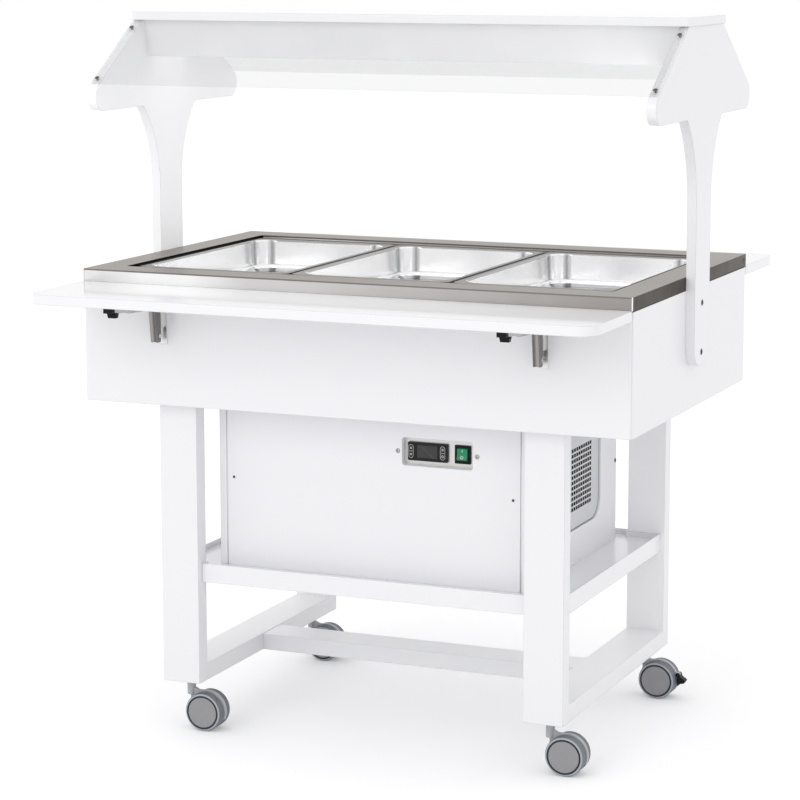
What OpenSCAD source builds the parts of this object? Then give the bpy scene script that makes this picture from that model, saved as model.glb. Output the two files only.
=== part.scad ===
// Mobile salad bar: a chilled well for three full-size pans on a board frame,
// with a canopy over it and a folding tray board on each long side.
// Millimetres, +Z up, origin on the floor under the middle of the cart.
// X runs along the cart, -Y is the side with the control plate.

/* [Well box] */
// Length of the well box over its end panels
well_l = 1096; // [1040:2:1300]
// Depth of the well box over its front and rear panels
well_d = 716; // [690:2:800]
// Height of the side panels
panel_h = 226.7; // [200:1:300]
// Thickness of the side panels
panel_t = 14; // [10:1:20]
// Rounding of the upright corners of the box
panel_r = 6; // [2:1:10]
// Thickness of the floor panel
floor_t = 12; // [8:1:20]

/* [Steel top] */
// Sheet thickness of rim and tank
sheet = 2; // [1:0.5:3]
// Height of the rim's apron
rim_h = 26; // [20:1:40]
// How far the apron stands proud of the front and rear panels
rim_proud = 2; // [0:0.5:4]
// Shadow line between apron and panels
seam = 0.3; // [0.1:0.1:1]
// Rounding of the apron's upright corners
rim_r = 3; // [2.5:0.5:4]
// Radius of the rivet button on the apron
rivet_r = 5; // [3:0.5:7]
// Distance of the rivet from the apron's rear corner
rivet_in = 14; // [12:1:20]
// Width of the return flange under the apron
return_w = 12; // [8:1:14]
// Depth of the ledge that the pans hang on, below the rim
ledge_drop = 5; // [4:0.5:8]
// Ledge outside the pan flanges, front and rear
ledge_y = 30; // [10:1:40]
// Play of the row of pans between the ends of the ledge
pan_play = 1.5; // [1:0.5:4]
// Depth of the tank below the ledge
tank_depth = 203; // [150:1:205]
// Inner corner radius of the tank
tank_r = 20; // [10:1:40]

/* [Pans] */
// Number of pans in the row
pan_n = 3; // [3:1:3]
// Flange length of a pan, front to rear
pan_l = 530; // [500:1:560]
// Flange width of a pan, along the cart
pan_w = 325; // [300:1:340]
// Gap between two neighbouring pan flanges
pan_gap = 2; // [1:0.5:4]
// Depth of a pan
pan_depth = 65; // [40:1:150]
// Sheet thickness of a pan
pan_t = 1.2; // [0.8:0.1:2]
// Width of a pan's flange
pan_flange = 12.5; // [11:0.5:16]
// Corner radius at a pan's mouth
pan_r = 45; // [40:1:60]
// Corner radius of a pan's flange
pan_flange_r = 22; // [10:1:30]
// Radius of the bend between a pan's floor and wall
pan_floor_r = 12; // [6:1:16]
// Width of a divider bar
bar_w = 20; // [16:1:22]
// Height of a divider bar
bar_h = 15; // [10:1:20]

/* [Canopy] */
// Height of the top shelf's upper face above the floor
total_h = 1380; // [1300:1:1450]
// Length of the top shelf
shelf_l = 1140; // [1136:2:1300]
// Depth of the top shelf
shelf_d = 240; // [238:2:300]
// Thickness of the top shelf
shelf_t = 16; // [12:1:25]
// Corner radius of the top shelf
shelf_r = 12; // [4:1:30]
// Thickness of an upright
upright_t = 18; // [15:1:25]
// Width of an upright's stem
stem_w = 92; // [80:1:110]
// Half width of an upright's head under the shelf
head_half = 108; // [100:1:112]
// Distance of an upright's nose from the middle
nose_y = 298.3; // [290:1:310]
// Radius of the nose
nose_r = 28; // [20:1:30]
// Slope of the screens below horizontal
slope = 33.4; // [31:0.2:36]
// Radius of the long sweep from stem to head
sweep_r = 230; // [200:1:240]
// Radius of the small fillet under the head
sweep_fillet = 14; // [10:1:20]
// Height of the long sweep below the head
sweep_drop = 157.5; // [140:1:170]
// How far a stem laps over the well box below its top
stem_lap = 145; // [120:1:170]
// Rounding of a stem's lower corners
stem_r = 40; // [6:1:44]
// Height of the two stem screws below the top of the panels
stem_screws = [26, 119]; // [20:1:130]
// Thickness of a screen
screen_t = 5; // [4:0.5:8]
// Height of a screen along its slope
screen_h = 205.5; // [180:0.5:206]
// Slope distance from the shelf to a screen's upper edge
screen_top = 8.5; // [8.5:0.5:12]
// How far a screen stops short of an upright's outer face
screen_inset = 3; // [1:0.5:5]
// Slope distances of the screen screws
screen_screws = [32, 199]; // [25:1:205]
// Height of the lamp cover
cover_h = 71; // [50:1:90]
// Half width of the lamp cover at the shelf
cover_top = 103; // [95:1:104]
// Half width of the lamp cover at its lower edge
cover_low = 87; // [80:1:94]
// Wall of the lamp cover
cover_t = 3; // [2:0.5:5]
// Lip that carries the diffuser
cover_lip = 16; // [10:1:30]
// Thickness of the diffuser
diffuser_t = 3; // [2:0.5:5]
// Length of the lamp
lamp_l = 900; // [600:10:1000]
// Radius of the lamp tube
lamp_r = 8; // [6:0.5:12]

/* [Tray boards] */
// How far a tray board's ends stop short of the ends of the well box
tray_in = 0; // [0:1:40]
// Depth of a tray board
tray_d = 210.5; // [205:0.5:220]
// Thickness of a tray board
tray_t = 18.5; // [15:0.5:22]
// Height of a tray's top above the lower edge of the panels
tray_rise = 229.5; // [229:0.5:232]
// Gap between a tray board and the rim's apron
tray_gap = 1.5; // [1:0.5:3]
// Radius of the two outer corners of a tray
tray_r = 36; // [20:1:60]
// Radius of the two inner corners of a tray
tray_r_in = 5; // [2:1:10]

/* [Folding brackets] */
// Distance of a bracket from the end of the well box
bracket_in = 167; // [120:1:250]
// Width of the wall plate
plate_w = 21; // [19:0.5:30]
// Thickness of the wall plate
plate_t = 2; // [1.5:0.5:3]
// Distance of the tray's hinge pin from the panel
hinge_out = 16; // [15.5:0.25:18]
// Distance of the tray's hinge pin below the board
hinge_drop = 13; // [12.5:0.25:14]
// Distance of the strut's pivot below the hinge pin
strut_drop = 62; // [56:0.5:62]
// Distance of the strut's pivot in front of the hinge pin
strut_out = 5; // [4:0.25:5.25]
// Sheet thickness of arm, strut and ears
gauge = 1.5; // [1:0.1:1.6]
// Outer width of an arm
arm_w = 18; // [17.8:0.1:20]
// Outer width of a strut
strut_w = 12.6; // [12.4:0.1:12.8]
// Outer width over the two ears of a wall plate
ears_w = 9; // [8:0.1:9]
// Radius of the hinge pin
hinge_pin_r = 3; // [2:0.1:3.2]
// Radius of the strut's lower pin
strut_pin_r = 2.5; // [2:0.1:2.8]
// Radius of the strut's sliding pin
slide_pin_r = 2.2; // [1.8:0.1:2.3]
// Running clearance of a pin in its hole
pin_fit = 0.05; // [0.02:0.01:0.1]
// Clearance of the sliding pin in its slot
slot_fit = 0.3; // [0.2:0.05:0.4]
// Length of an arm from its hinge pin to the cap
arm_l = 180; // [176:1:182]
// Length of the cap on an arm's end
cap_l = 13; // [8:1:13]
// Distance of the release lever's pivot from the cap
lever_back = 9; // [8:0.5:12]
// Width of the release lever's paddle at its top
lever_w = 20; // [16:1:22]
// Height of the release lever's paddle
lever_h = 9; // [6:0.5:12]

/* [Frame] */
// Height of the legs
leg_h = 549; // [500:1:600]
// Width of a leg along the cart
leg_w = 77.3; // [70:0.1:80]
// Thickness of a leg, front to rear
leg_t = 33; // [25:1:40]
// Distance of a leg's outer face from the end of the well box
leg_in_x = 138; // [130:1:145]
// Distance of a leg's outer face from the front of the well box
leg_in_y = 40; // [36:1:46]
// Height of a bottom rail
rail_h = 33; // [25:1:40]
// Width of the stretcher
stretcher_w = 79; // [50:1:100]
// Height of the stretcher
stretcher_h = 32; // [20:1:33]
// Height of the shelf floor above the rails
shelf_rise = 192.3; // [185:0.1:200]
// Height of the shelf's lip above its floor
lip_h = 9.7; // [5:0.1:15]
// Height of the shelf's skirt below its floor
skirt_h = 26.8; // [20:0.1:40]
// Sheet thickness of the shelf
mid_t = 3; // [2:0.5:5]
// How far the shelf stops short of the outer faces of the legs, along and across
mid_in = [8.5, 16]; // [6:0.5:20]
// Gap between the shelf and a leg
mid_gap = 0.3; // [0.1:0.1:0.6]

/* [Machine housing] */
// Length of the housing
house_l = 634; // [620:2:640]
// Depth of the housing
house_d = 502.6; // [480:0.2:506]
// Thickness of the housing's end panels
end_t = 14; // [12:1:18]
// Thickness of the housing's front and rear panels
face_t = 12; // [10:1:15]
// Shadow gap beside the front and rear panels
face_gap = 2.5; // [1:0.5:4]
// Section of the cleats inside the end panels
cleat = 20; // [15:1:30]
// Height of the housing's panel screws above the shelf floor
house_screw = 173.7; // [150:0.1:200]
// Height of the screws through the end panels into the rear panel's edges
side_screw = 161.7; // [30:0.1:165]
// Cut-out in front of the control plate: width, height
cut = [142, 53]; // [50:1:150]
// Centre of the cut-out: from the middle, below the top of the housing
cut_at = [135, 74]; // [60:0.5:145]
// Corner radius of the cut-out
cut_r = 6; // [3:1:10]
// Overlap of the control plate behind the panel
plate_lap = 18; // [12:1:22]
// Controller bezel: width, height, thickness
ctrl = [81, 35.5, 4]; // [3:0.5:90]
// Controller's distance from the left edge of the cut-out
ctrl_in = 8.2; // [5:0.1:12]
// Switch bezel: width, height, thickness
sw = [32, 35, 2.5]; // [2:0.5:40]
// Switch's distance from the right edge of the cut-out
sw_in = 7.8; // [5:0.1:12]
// Rocker key: width, height
rocker_size = [20, 25]; // [16:1:28]
// Key pad: width, height
pad = [11, 27]; // [8:0.5:30]
// Opening for the grille: width, height
vent = [311.4, 195.2]; // [280:0.2:320]
// Height of the vent's middle above the shelf floor
vent_z = 165.2; // [150:0.1:180]
// Corner radius of the vent
vent_r = 42; // [20:1:60]
// Depth of the grille plate in the vent
vent_deep = 4; // [2:0.5:6]
// Rebate that carries the grille plate
vent_rebate = 10; // [6:1:14]
// Thickness of the grille plate
grille_t = 2; // [1:0.5:2]
// Holes of the grille: across, up
grille_n = [17, 12]; // [8:1:20]
// Pitch of the holes: across, up
grille_pitch = [13, 10.5]; // [9:0.5:14]
// Size of a hole: across, up
grille_hole = [10, 7]; // [4:0.5:11]

/* [Cooling set] */
// Depth of the base plate
base_d = 300; // [260:2:420]
// Distance of the base plate's end from the housing's end panel
base_in = 73; // [20:1:75]
// Distance of the compressor's middle from the middle of the housing
comp_x = 90; // [85:1:140]
// Foot of the compressor: how far it stands out, height
comp_foot = [12, 22]; // [8:1:30]
// Distance of the condenser from the housing's end panel
cond_in = 12; // [8:1:20]
// Length of the fan's shroud
shroud_l = 34; // [30:1:40]
// Fan motor: radius, length
motor = [26, 58]; // [20:1:60]
// Radius of the compressor's shell
comp_r = 72; // [60:1:85]
// Height of the compressor's shell
comp_h = 165; // [140:1:190]
// Condenser block: depth, width, height
cond = [36, 250, 210]; // [30:1:260]
// Number of condenser fins
fin_n = 24; // [12:1:30]
// Radius of the fan
fan_r = 92; // [70:1:94]
// Number of fan blades
fan_n = 5; // [3:1:7]
// Radius of the fan's shaft
fan_shaft_r = 4; // [3:0.5:6]

/* [Casters] */
// Height of a caster under the frame
caster_h = 100; // [96:1:110]
// Wheel radius
wheel_r = 37.5; // [34:0.5:40]
// Width over both wheels of a caster
caster_w = 48; // [44:1:54]
// Trail of a caster
trail = 34.6; // [32:0.1:36]
// Distance of a caster's stem from the outer faces of its leg, along and across
caster_in = [38.6, 41]; // [37:0.1:45]
// Radius of a caster's stem
stem_rad = 8.5; // [7:0.1:9]
// Thickness of the hood between the wheels
hood_w = 8; // [7:0.5:10]
// Gap between hood and wheel
hood_gap = 0.6; // [0.4:0.1:1]
// How far the hood stands out past the wheels
hood_out = 2; // [1:0.5:3]
// Radius of the pin in the frame
king_r = 5; // [4:0.1:6]
// Length of the pin in the frame
king_l = 28; // [15:1:28]
// Radius of the axle
axle_r = 4; // [3:0.1:5]
// Radius and width of the groove round a wheel's disc
groove = [31.5, 2.7]; // [2:0.1:33]

/* [Fasteners] */
// Radius of a screw's shank
screw_r = 2; // [1.5:0.1:2.5]
// Radius of a screw's head
screw_head = 4.5; // [3:0.1:5]
// Radius of the heads of the stem screws
stem_head = 6.5; // [4:0.1:8]
// Height of a screw's head
screw_head_h = 2; // [1:0.1:3]

/* [Hidden] */
$fn = 64;
e = 0.5;

// Heights
rail_top = caster_h + rail_h;
mid_z = rail_top + shelf_rise;
well_z0 = caster_h + leg_h;
panel_top = well_z0 + panel_h;
rim_z0 = panel_top + seam;
rim_top = rim_z0 + rim_h;
ledge_z = rim_top - ledge_drop;
ledge_low = ledge_z - sheet;
tank_z0 = ledge_z - tank_depth;
rim_d = well_d + 2*rim_proud;

// Row of pans
pitch = pan_w + pan_gap;
open_x = pan_n*pitch/2 - pan_gap/2 + pan_play;
open_y = pan_l/2 + ledge_y;
tank_x = open_x - pan_flange - pan_play + 1;
tank_y = pan_l/2 - pan_flange - 0.5;
tank_ox = tank_x + sheet;
tank_oy = tank_y + sheet;
open_r = 6;
cleat_h = 3;
cleat_d = 10;
pan_lift = 0.3;
pan_top = ledge_z + pan_lift + pan_t;
flange_r = 3;
cx = pan_w/2 - pan_flange - pan_r;
cy = pan_l/2 - pan_flange - pan_r;

// Canopy
head_z = total_h - shelf_t;
up_x = well_l/2;
nose_cy = nose_y - nose_r;
nose_cz = head_z - (nose_r + sin(slope)*(nose_cy - head_half))/cos(slope);
head_low = nose_cz - nose_r;
stem_half = stem_w/2;
big_y = stem_half + sweep_r;
big_z = head_low - sweep_drop;
small_z = head_low - sweep_fillet;
small_y = big_y - sqrt(pow(sweep_r - sweep_fillet, 2) - pow(small_z - big_z, 2));
meet = sweep_r/(sweep_r - sweep_fillet);
meet_y = big_y + (small_y - big_y)*meet;
meet_z = big_z + (small_z - big_z)*meet;
stem_z0 = panel_top - stem_lap;
screen_x = up_x + upright_t - screen_inset;
screw_x = up_x + upright_t/2;
cover_z0 = head_z - cover_h;
screw_bite = 12;
head_clear = 0.05;

// Tray boards and brackets, given for the front; the rear ones are turned half round
bracket_x = well_l/2 - bracket_in;
tray_l = well_l - 2*tray_in;
tray_top = well_z0 + tray_rise;
tray_z0 = tray_top - tray_t;
tray_y1 = -(rim_d/2 + tray_gap);
tray_y0 = tray_y1 - tray_d;
wall_y = -well_d/2;
wall_face = wall_y - plate_t;
ay = wall_y - hinge_out;
az = tray_z0 - hinge_drop;
sy = ay - strut_out;
sz = az - strut_drop;
py = ay - 2*strut_out;
pz = az;
slot_far = ay - 2*strut_drop;
web_low = tray_z0 - gauge;
arm_y0 = ay - arm_l;
cap_y0 = arm_y0 - cap_l;
lever_y = arm_y0 + lever_back;
lever_pin_r = 1.6;
arm_tip_low = az + 3.5;
lever_z = arm_tip_low + 3.5;
lever_top = arm_tip_low - 1.5;
plate_z0 = sz - 18.5;
plate_z1 = az + 25;
side_air = 0.2;

// Frame
leg_x = well_l/2 - leg_in_x;
leg_y = well_d/2 - leg_in_y;
leg_ix = leg_x - leg_w;
leg_iy = leg_y - leg_t;

// Housing
hx = house_l/2;
hy = house_d/2;
face_x = hx - end_t - face_gap;
face_back = -hy + face_t;
cut_x = cut_at[0];
cut_z = well_z0 - cut_at[1];
cp_x0 = cut_x - cut[0]/2 - plate_lap;
cp_x1 = cut_x + cut[0]/2 + plate_lap;
cp_h = cut[1] + 18;
cp_t = 1.5;
cp_screw = 9.5;
ctrl_x = cut_x - cut[0]/2 + ctrl_in + ctrl[0]/2;
sw_x = cut_x + cut[0]/2 - sw_in - sw[0]/2;
box_fit = 0.25;
ctrl_body = [71, 29, 45];
sw_body = [27, 30, 22];
pad_in = [1.2 + pad[0]/2, ctrl[0] - 5 - pad[0]/2];
pad_deep = 2.2;
pad_proud = 0.6;
pad_fit = 0.3;
vent_cz = mid_z + vent_z;
key_pin = 1.5;
key_y = face_back + 0.5;

// Cooling set
cond_x = hx - end_t - cond_in - cond[0];
motor_x = cond_x - shroud_l;
base_t = 4;
fan_z = mid_z + base_t + cond[2]/2 + 2;
blade_deep = 26;

// Casters
st_x = leg_x - caster_in[0];
st_y = leg_y - caster_in[1];
wheel_in = hood_w/2 + hood_gap;
hood_r = wheel_r + hood_out;
pedal_at = [hood_r + 1.5, 12];
pedal_lug = 4;
pedal_pin = 1.6;
pedal_w = 16;
stem_low = wheel_r + 29;
collar_h = 6;
king_air = 0.3;

// Rectangle with round corners
module rrect(x, y, r) {
  square([x - 2*r, y], center = true);
  square([x, y - 2*r], center = true);
  for (i = [-1, 1], j = [-1, 1])
    translate([i*(x/2 - r), j*(y/2 - r)]) circle(r);
}

// Ring between two such rectangles
module ring(x, y, r, x2, y2, r2) {
  difference() {
    rrect(x, y, r);
    rrect(x2, y2, r2);
  }
}

// Outline in Y and Z, drawn out along X from x0
module along_x(x0, h) {
  translate([x0, 0, 0]) rotate([90, 0, 90]) linear_extrude(height = h) children();
}

// Outline in X and Z, drawn out along Y from y0
module along_y(y0, h) {
  translate([0, y0 + h, 0]) rotate([90, 0, 0]) linear_extrude(height = h) children();
}

// Pin along X
module pin_x(x0, x1, r, y, z) {
  translate([x0, y, z]) rotate([0, 90, 0]) cylinder(h = x1 - x0, r = r);
}

// Local frame on a screen's slope: Y down the slope, Z out of it
module on_slope(side) {
  mirror([0, side < 0 ? 1 : 0, 0])
    translate([0, head_half, head_z]) rotate([-slope, 0, 0]) children();
}

// Screw along +Z, its head's seat at z = 0
module screw(len, r = screw_head) {
  translate([0, 0, -len]) cylinder(h = len, r = screw_r);
  intersection() {
    cylinder(h = screw_head_h, r = r);
    translate([0, 0, screw_head_h - 1.6*r]) sphere(r = 1.6*r);
  }
}

// Turns the front brackets' pieces into the rear ones
module to_rear() { rotate([0, 0, 180]) children(); }

// ---- Canopy ----
module upright_half() {
  s = sin(slope);
  c = cos(slope);
  polygon([[0, head_low], [nose_cy, head_low], [nose_cy, nose_cz],
    [nose_cy + nose_r*s, nose_cz + nose_r*c], [head_half, head_z], [0, head_z]]);
  translate([nose_cy, nose_cz]) circle(nose_r);
  difference() {
    translate([stem_half - e, big_z]) square([small_y - stem_half + e, head_low + e - big_z]);
    translate([big_y, big_z]) circle(sweep_r, $fn = 180);
    translate([meet_y, big_z - e]) square([sweep_r, meet_z - big_z + e]);
    translate([meet_y, meet_z]) square([sweep_r, sweep_r]);
  }
  difference() {
    polygon([[meet_y - e, meet_z], [small_y, meet_z], [small_y, head_low + e],
      [meet_y - e, head_low + e]]);
    translate([small_y, small_z]) circle(sweep_fillet);
  }
}

module upright_2d() {
  upright_half();
  mirror([1, 0]) upright_half();
  translate([-stem_half, stem_z0 + stem_r]) square([stem_w, head_low + e - stem_z0 - stem_r]);
  translate([-stem_half + stem_r, stem_z0]) square([stem_w - 2*stem_r, 2*stem_r]);
  for (i = [-1, 1])
    translate([i*(stem_half - stem_r), stem_z0 + stem_r]) circle(stem_r);
}

module upright() {
  difference() {
    along_x(up_x, upright_t) upright_2d();
    for (d = stem_screws)
      pin_x(up_x - e, up_x + upright_t + e, screw_r + head_clear, 0, panel_top - d);
    for (side = [-1, 1], d = screen_screws) on_slope(side)
      translate([screw_x, d, -screw_bite])
        cylinder(h = screw_bite + e, r = screw_r + head_clear);
  }
}

module upright_left() { color("white") mirror([1, 0, 0]) upright(); }
module upright_right() { color("white") upright(); }

module top_shelf() {
  color("white") translate([0, 0, head_z]) linear_extrude(height = shelf_t)
    rrect(shelf_l, shelf_d, shelf_r);
}

module cover_outline() {
  polygon([[-cover_top, head_z], [cover_top, head_z], [cover_low, cover_z0],
    [-cover_low, cover_z0]]);
}

module cover_2d() {
  difference() {
    cover_outline();
    polygon([[-cover_top + cover_t, head_z + e], [cover_top - cover_t, head_z + e],
      [cover_low - cover_t, cover_z0 + cover_t], [-cover_low + cover_t, cover_z0 + cover_t]]);
    translate([-cover_low + cover_lip, cover_z0 - e])
      square([2*(cover_low - cover_lip), cover_t + 2*e]);
  }
}

module lamp_cover() {
  color("white") {
    along_x(-up_x, well_l) cover_2d();
    for (x = [-up_x, up_x - cover_t]) along_x(x, cover_t) cover_outline();
  }
}

module diffuser() {
  w = cover_low - cover_t - 1;
  x = up_x - cover_t - seam;
  color("whitesmoke") translate([-x, -w, cover_z0 + cover_t]) cube([2*x, 2*w, diffuser_t]);
}

module lamp() {
  z = head_z - 34;
  color("whitesmoke") {
    translate([-lamp_l/2, -25, head_z - 20]) cube([lamp_l, 50, 20]);
    for (i = [-1, 1])
      translate([i*(lamp_l/2 - 10) - 10, -lamp_r - 2, z - lamp_r - 2])
        cube([20, 2*lamp_r + 4, head_z - 20 - z + lamp_r + 2 + e]);
    pin_x(-lamp_l/2 + 10, lamp_l/2 - 10, lamp_r, 0, z);
  }
}

module screen(side) {
  difference() {
    on_slope(side) translate([-screen_x, screen_top, 0]) cube([2*screen_x, screen_h, screen_t]);
    for (i = [-1, 1], d = screen_screws) on_slope(side)
      translate([i*screw_x, d, -e]) cylinder(h = screen_t + 2*e, r = screw_r + head_clear);
  }
}

module screen_front() { color("lightcyan", 0.35) screen(-1); }
module screen_rear() { color("lightcyan", 0.35) screen(1); }

module screws() {
  color("dimgray") {
    for (i = [-1, 1]) {
      for (d = stem_screws) mirror([i < 0 ? 1 : 0, 0, 0])
        translate([up_x + upright_t, 0, panel_top - d]) rotate([0, 90, 0])
          screw(upright_t + screw_bite, stem_head);
      for (side = [-1, 1], d = screen_screws) on_slope(side)
        translate([i*screw_x, d, screen_t]) screw(screen_t + screw_bite);
      translate([i*(face_x - cleat/2 - 4), -hy, mid_z + house_screw]) rotate([90, 0, 0])
        screw(face_t + screw_bite);
      translate([i*(face_x - cleat/2 - 4), hy, mid_z + house_screw]) rotate([-90, 0, 0])
        screw(face_t + screw_bite);
      translate([i*hx, hy - face_t/2, mid_z + side_screw]) rotate([0, i*90, 0])
        screw(end_t + face_gap + screw_bite);
    }
    for (x = [cp_x0 + cp_screw, cp_x1 - cp_screw])
      translate([x, -hy, cut_z]) rotate([90, 0, 0]) screw(face_t + cp_t + 4);
  }
}

// ---- Well box ----
// One mitred side of the box: its outline is the part of the ring on that side
module box_side(a) {
  intersection() {
    ring(well_l, well_d, panel_r, well_l - 2*panel_t, well_d - 2*panel_t, 0.01);
    if (a == 0)
      polygon([[-well_l/2, -well_d/2], [well_l/2, -well_d/2],
        [well_l/2 - panel_t - e, -well_d/2 + panel_t + e],
        [-well_l/2 + panel_t + e, -well_d/2 + panel_t + e]]);
    else
      polygon([[well_l/2, -well_d/2], [well_l/2, well_d/2],
        [well_l/2 - panel_t - e, well_d/2 - panel_t - e],
        [well_l/2 - panel_t - e, -well_d/2 + panel_t + e]]);
  }
}

module long_panel() {
  translate([0, 0, well_z0]) linear_extrude(height = panel_h) box_side(0);
}

module end_panel() {
  difference() {
    translate([0, 0, well_z0]) linear_extrude(height = panel_h) box_side(1);
    for (d = stem_screws)
      pin_x(up_x - screw_bite, up_x + e, screw_r + head_clear, 0, panel_top - d);
  }
}

module front_panel() { color("white") long_panel(); }
module rear_panel() { color("white") mirror([0, 1, 0]) long_panel(); }
module left_panel() { color("white") mirror([1, 0, 0]) end_panel(); }
module right_panel() { color("white") end_panel(); }

module floor_panel() {
  x = well_l - 2*panel_t;
  y = well_d - 2*panel_t;
  color("white") translate([-x/2, -y/2, well_z0]) cube([x, y, floor_t]);
}

module tank_outer(z0, z1) {
  translate([0, 0, z0]) linear_extrude(height = z1 - z0)
    rrect(2*tank_ox, 2*tank_oy, tank_r + sheet);
}

module insulation() {
  x = well_l - 2*panel_t;
  y = well_d - 2*panel_t;
  z = well_z0 + floor_t;
  color("khaki") difference() {
    translate([-x/2, -y/2, z]) cube([x, y, panel_top - z]);
    tank_outer(tank_z0 - sheet, rim_top);
  }
}

module tank() {
  color("silver") {
    difference() {
      tank_outer(tank_z0 - sheet, ledge_low);
      translate([0, 0, tank_z0]) linear_extrude(height = tank_depth)
        rrect(2*tank_x, 2*tank_y, tank_r);
    }
    for (i = [1:pan_n - 1], j = [0, 1]) mirror([0, j, 0])
      translate([(i - pan_n/2)*pitch - bar_w/2, tank_y - cleat_d, ledge_z - bar_h - cleat_h])
        cube([bar_w, cleat_d + e, cleat_h]);
  }
}

module rim() {
  z0 = rim_z0;
  ox = 2*(open_x + sheet);
  oy = 2*(open_y + sheet);
  color("silver") {
    translate([0, 0, rim_top - sheet]) linear_extrude(height = sheet)
      ring(well_l, rim_d, rim_r, 2*open_x, 2*open_y, open_r);
    translate([0, 0, z0]) linear_extrude(height = rim_h)
      ring(well_l, rim_d, rim_r, well_l - 2*sheet, rim_d - 2*sheet, 0.5);
    translate([0, 0, z0]) linear_extrude(height = sheet)
      ring(well_l, rim_d, rim_r, well_l - 2*return_w, rim_d - 2*return_w, 0.5);
    for (i = [0, 1]) mirror([i, 0, 0])
      translate([well_l/2 - e, rim_d/2 - rivet_in, z0 + rim_h/2]) rotate([0, 90, 0]) {
        cylinder(h = e + 1, r = rivet_r);
        cylinder(h = e + 1.6, r = rivet_r*0.6);
      }
    translate([0, 0, ledge_low]) linear_extrude(height = rim_top - ledge_low)
      ring(ox, oy, open_r + sheet, 2*open_x, 2*open_y, open_r);
    translate([0, 0, ledge_low]) linear_extrude(height = sheet)
      ring(ox, oy, open_r + sheet, 2*tank_x, 2*tank_y, tank_r);
  }
}

module divider_bars() {
  color("silver") for (i = [1:pan_n - 1])
    translate([(i - pan_n/2)*pitch, -tank_y + seam, ledge_z - bar_h]) difference() {
      translate([-bar_w/2, 0, 0]) cube([bar_w, 2*(tank_y - seam), bar_h]);
      translate([-bar_w/2 + sheet, -e, -e])
        cube([bar_w - 2*sheet, 2*tank_y, bar_h - sheet + e]);
    }
}

// Section of a pan's wall, r counted from the centre of its corner radius
module pan_wall() {
  z = pan_top;
  zb = z - pan_depth + pan_t;
  w0 = pan_r - flange_r;
  w1 = w0 - 2;
  w2 = w1 - 3;
  za = zb + pan_floor_r;
  difference() {
    polygon([[0, zb - pan_t], [w2 - pan_floor_r, zb - pan_t], [w2 - pan_floor_r, za],
      [w2 + pan_t, za], [w1 + pan_t, za + 2.5], [w0 + pan_t, z - flange_r],
      [pan_r, z - flange_r], [pan_r, z], [0, z]]);
    polygon([[-1, zb], [w2 - pan_floor_r, zb], [w2 - pan_floor_r, za], [w2, za],
      [w1, za + 2.5], [w0, z - flange_r], [w0, z + 1], [-1, z + 1]]);
    difference() {
      translate([w0 - 1, z - flange_r]) square([flange_r + 1, flange_r + 1]);
      translate([pan_r, z - flange_r]) circle(flange_r);
    }
    translate([pan_r, z - flange_r]) circle(flange_r - pan_t);
  }
  difference() {
    translate([w2 - pan_floor_r, za]) circle(pan_floor_r + pan_t);
    translate([w2 - pan_floor_r, za]) circle(pan_floor_r);
    translate([0, za]) square([pan_r*2, pan_r*2]);
    translate([-pan_r, zb - pan_r]) square([pan_r + w2 - pan_floor_r, pan_r*3]);
  }
}

module pan(k) {
  color("gainsboro") translate([(k - (pan_n - 1)/2)*pitch, 0, 0]) {
    for (a = [0:3]) {
      sx = a == 0 || a == 3 ? 1 : -1;
      sy_ = a < 2 ? 1 : -1;
      translate([sx*cx, sy_*cy, 0]) rotate([0, 0, 90*a])
        rotate_extrude(angle = 90) pan_wall();
    }
    for (i = [0, 1]) {
      mirror([i, 0, 0]) translate([cx, cy, 0]) rotate([90, 0, 0])
        linear_extrude(height = 2*cy) pan_wall();
      mirror([0, i, 0]) translate([-cx, cy, 0]) rotate([90, 0, 90])
        linear_extrude(height = 2*cx) pan_wall();
    }
    translate([-cx, -cy, pan_top - pan_depth]) cube([2*cx, 2*cy, pan_t]);
    translate([0, 0, pan_top - pan_t]) linear_extrude(height = pan_t)
      ring(pan_w, pan_l, pan_flange_r, 2*(cx + pan_r), 2*(cy + pan_r), pan_r);
  }
}

module pan_left() { pan(0); }
module pan_mid() { pan(1); }
module pan_right() { pan(2); }

// ---- Tray boards and folding brackets ----
module tray() {
  x = tray_l/2;
  color("white") translate([0, 0, tray_z0]) linear_extrude(height = tray_t) {
    translate([-x, tray_y0 + tray_r]) square([2*x, tray_d - tray_r - tray_r_in]);
    translate([-x + tray_r, tray_y0]) square([2*(x - tray_r), tray_r + e]);
    translate([-x + tray_r_in, tray_y1 - tray_r_in - e])
      square([2*(x - tray_r_in), tray_r_in + e]);
    for (i = [-1, 1]) {
      translate([i*(x - tray_r), tray_y0 + tray_r]) circle(tray_r);
      translate([i*(x - tray_r_in), tray_y1 - tray_r_in]) circle(tray_r_in);
    }
  }
}

module tray_front() { tray(); }
module tray_rear() { to_rear() tray(); }

// Ear of a wall plate: it reaches round behind the strut's swing to hold its pivot
module ear_2d() {
  up = sz + 14.5;
  difference() {
    union() {
      polygon([[wall_face + e, az + 10.5], [wall_face + e, up], [sy + 6, up],
        [sy + 5, sz], [sy - 4, sz], [sy - 4, up + 4], [ay - 3, up + 12], [ay - 6.5, az - 8],
        [ay - 6.5, az + 5], [ay - 2, az + 9], [ay + 5, az + 10.5]]);
      translate([sy, sz]) circle(5.2);
      translate([ay, az]) circle(7.5);
    }
    translate([ay, az]) circle(hinge_pin_r + pin_fit);
  }
}

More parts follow.
